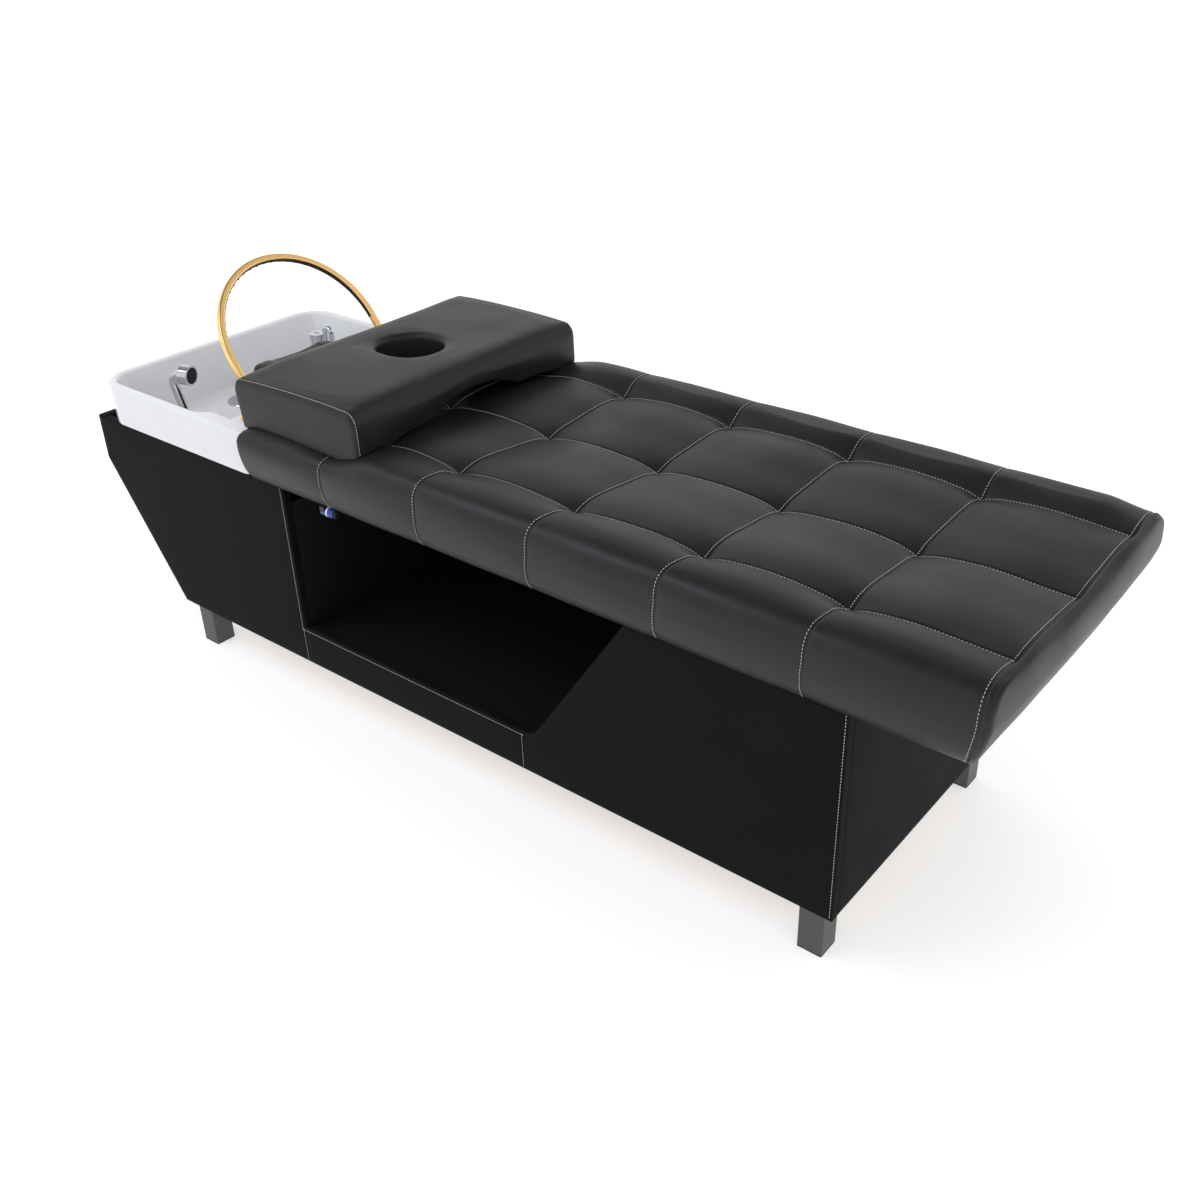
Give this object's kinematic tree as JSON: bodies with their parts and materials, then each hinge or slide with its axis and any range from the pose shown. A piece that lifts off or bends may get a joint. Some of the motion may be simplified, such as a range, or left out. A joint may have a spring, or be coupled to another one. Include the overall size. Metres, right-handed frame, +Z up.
{
  "type": "hair washing bed",
  "caption": "Lie-down hair washing bed with a tufted mattress, side storage, face-hole pillow, ceramic basin, hand shower, mixer tap and a swinging water arc.",
  "frame": {"origin": "on the floor, under the middle of the bed's length and width", "axes": "+X towards the foot end, +Y towards the closed side, +Z up; the storage space opens towards -Y"},
  "size_m": [2.258, 0.694, 0.8747],
  "materials": {
    "plywood": "raw birch plywood",
    "timber": "planed pine",
    "black_laminate": "matt black laminate on board",
    "base_leather": "semi-matt black artificial leather",
    "pad_leather": "semi-matt black artificial leather, grey stitched",
    "leg_steel": "brushed",
    "zinc_steel": "zinc plated",
    "black_plastic": "matt",
    "white_ceramic": "gloss white glaze",
    "chrome": "polished",
    "brass": "turned",
    "white_plastic": "matt",
    "gold_brass": "gold plated, polished",
    "black_rubber": "matt",
    "motor_aluminium": "cast",
    "blue_plastic": "gloss"
  },
  "bodies": {
    "bed": {"near_side_board": "plywood", "near_side_cover": "base_leather", "far_side_board": "plywood", "far_side_cover": "base_leather", "head_end_board": "plywood", "head_slanted_board": "plywood", "head_end_cover": "base_leather", "foot_end_board": "plywood", "foot_end_cover": "base_leather", "foot_cleat": "timber", "base_floor": "plywood", "basin_bulkhead": "plywood", "niche_head_wall": "black_laminate", "niche_foot_wall": "black_laminate", "niche_floor": "black_laminate", "niche_back": "black_laminate", "niche_bearers": "timber", "deck_battens": "timber", "leg_near_head": "leg_steel", "leg_far_head": "leg_steel", "leg_near_foot": "leg_steel", "leg_far_foot": "leg_steel", "leg_glides": "black_plastic", "leg_plates": "zinc_steel", "leg_screws": "zinc_steel", "mattress_board": "plywood", "mattress": "pad_leather", "basin": "white_ceramic", "drain_flange": "chrome", "drain_nut": "brass", "waste_inlet_pipe": "white_plastic", "waste_trap": "white_plastic", "waste_outlet_pipe": "white_plastic", "shower_socket": "chrome", "shower_socket_nut": "brass", "mixer_body": "chrome", "mixer_spout": "chrome", "mixer_nut": "brass", "mixer_inlets": "brass", "arc_post_near": "gold_brass", "arc_post_far": "gold_brass", "arc_post_nuts": "brass", "neck_rest_board": "plywood", "neck_rest": "pad_leather", "pump_foot": "black_plastic", "pump_motor": "motor_aluminium", "pump_volute": "black_plastic", "switch_bracket": "black_plastic", "switch_housing": "blue_plastic", "switch_band": "white_plastic"},
    "pillow": {"face_pillow": "pad_leather"},
    "strainer": {"drain_strainer": "chrome"},
    "arc": {"water_arc": "gold_brass", "arc_knuckles": "gold_brass", "arc_nozzle_strip": "black_rubber"},
    "shower": {"shower_handle": "chrome", "shower_head": "chrome", "shower_face": "black_rubber"},
    "knob": {"mixer_knob": "chrome"},
    "button": {"switch_button": "black_plastic"}
  },
  "joints": [
    {"name": "pillow_lift", "type": "slide", "parent": "bed", "child": "pillow", "axis": [0, 0, 1], "range_m": [0, 0.25]},
    {"name": "strainer_lift", "type": "slide", "parent": "bed", "child": "strainer", "axis": [0, 0, 1], "range_m": [0, 0.05]},
    {"name": "arc_swing", "type": "hinge", "parent": "bed", "child": "arc", "pos_m": [-0.69, 0, 0.649], "axis": [0, 1, 0], "range_deg": [-40, 50]},
    {"name": "shower_lift", "type": "slide", "parent": "bed", "child": "shower", "axis": [-0.342, 0, 0.9397], "range_m": [0, 0.09]},
    {"name": "knob_turn", "type": "hinge", "parent": "bed", "child": "knob", "pos_m": [-0.95, 0.2, 0.6073], "axis": [0, 0, 1], "range_deg": [-90, 90]},
    {"name": "button_press", "type": "slide", "parent": "bed", "child": "button", "axis": [-1, 0, 0], "range_m": [0, 0.0025], "stiffness_N_per_m": 600, "springref_m": -0.001}
  ]
}
